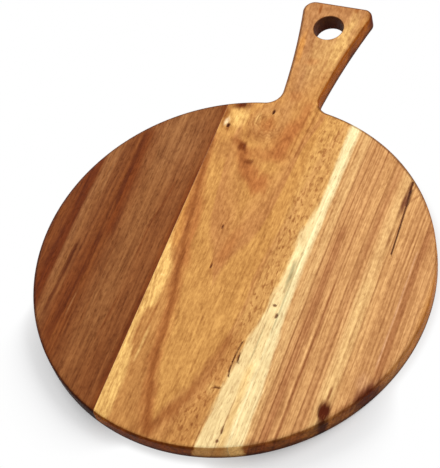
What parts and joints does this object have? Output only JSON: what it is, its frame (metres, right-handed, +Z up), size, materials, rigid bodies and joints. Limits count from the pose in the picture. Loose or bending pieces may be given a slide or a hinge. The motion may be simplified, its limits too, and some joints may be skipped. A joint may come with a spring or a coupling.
{
  "type": "round cutting board",
  "caption": "Round wooden cutting board of edge-glued staves, with a flared paddle handle grown from the centre stave and a hanging hole near its end.",
  "frame": {"origin": "centre of the round disc, on the underside", "axes": "+Z up out of the cutting face, +Y along the handle towards its end, +X across the staves to the right"},
  "size_m": [0.3048, 0.411, 0.016],
  "materials": {
    "dark_heartwood": "oiled satin, dark brown heartwood with reddish streaks",
    "golden_heartwood": "oiled satin, golden heartwood with a pale sapwood edge and small knots",
    "striped_heartwood": "oiled satin, straight striped heartwood with a pale sapwood edge and one dark knot",
    "cured_glue": "thin film of cured wood glue"
  },
  "bodies": {
    "root": {"left_stave": "dark_heartwood", "centre_stave": "golden_heartwood", "right_stave": "striped_heartwood", "left_glue_line": "cured_glue", "right_glue_line": "cured_glue"}
  },
  "joints": []
}
